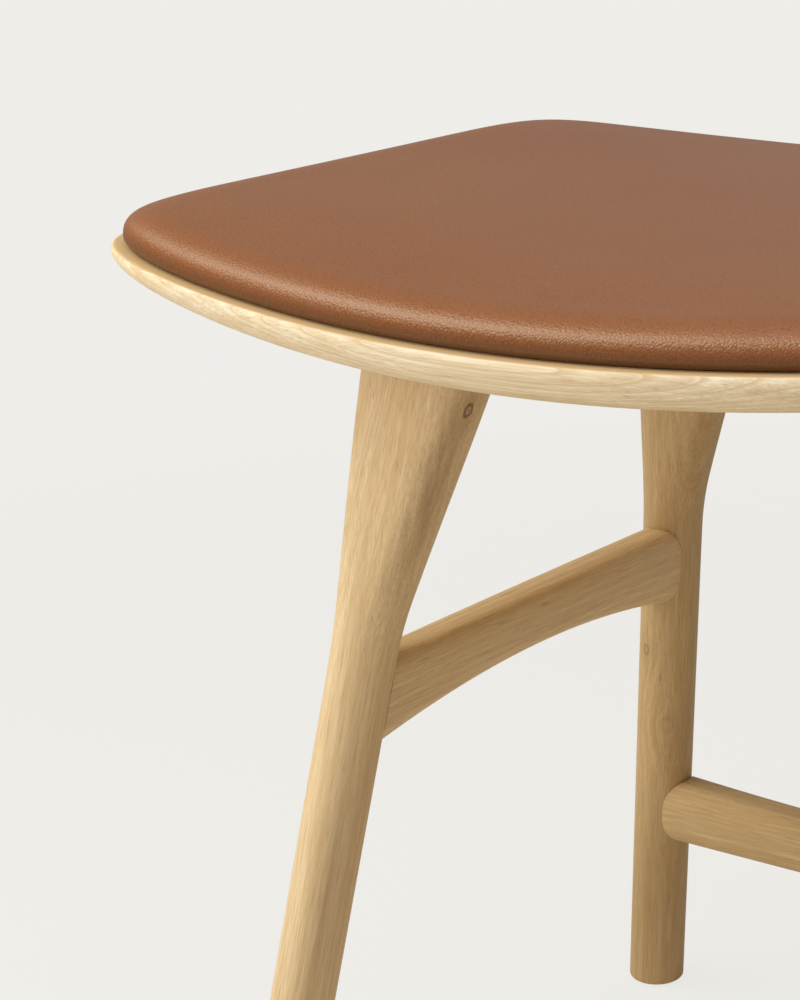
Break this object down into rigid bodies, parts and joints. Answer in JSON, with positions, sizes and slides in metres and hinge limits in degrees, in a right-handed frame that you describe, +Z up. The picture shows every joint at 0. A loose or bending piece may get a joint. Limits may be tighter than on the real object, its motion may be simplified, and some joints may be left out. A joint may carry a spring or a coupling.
{
  "type": "upholstered wooden stool",
  "caption": "Oak stool with splayed legs that swell into soft square heads, arched side rails, a low back rail, and a dished seat with a thin leather cushion",
  "frame": {"origin": "on the floor, under the middle of the seat", "axes": "+Z up, +X to the right end of the seat's long side, +Y to the back, where the low rail is"},
  "size_m": [0.486, 0.404, 0.4646],
  "materials": {
    "oak": "matt oiled oak with a fine straight grain",
    "plywood": "raw bent plywood",
    "foam": "upholstery foam",
    "leather": "cognac leather with a fine grain and a soft sheen",
    "dowel_wood": "raw beech",
    "steel": "zinc plated",
    "glide": "dark nylon"
  },
  "bodies": {
    "root": {"seat_shell": "oak", "cushion_board": "plywood", "cushion_foam": "foam", "leather_cover": "leather", "front_left_leg": "oak", "back_left_leg": "oak", "back_right_leg": "oak", "front_right_leg": "oak", "left_side_stretcher": "oak", "right_side_stretcher": "oak", "back_stretcher": "oak", "seat_dowels": "dowel_wood", "side_dowels": "dowel_wood", "back_dowels": "dowel_wood", "cushion_screws": "steel", "cushion_inserts": "steel", "foot_glides": "glide"}
  },
  "joints": []
}
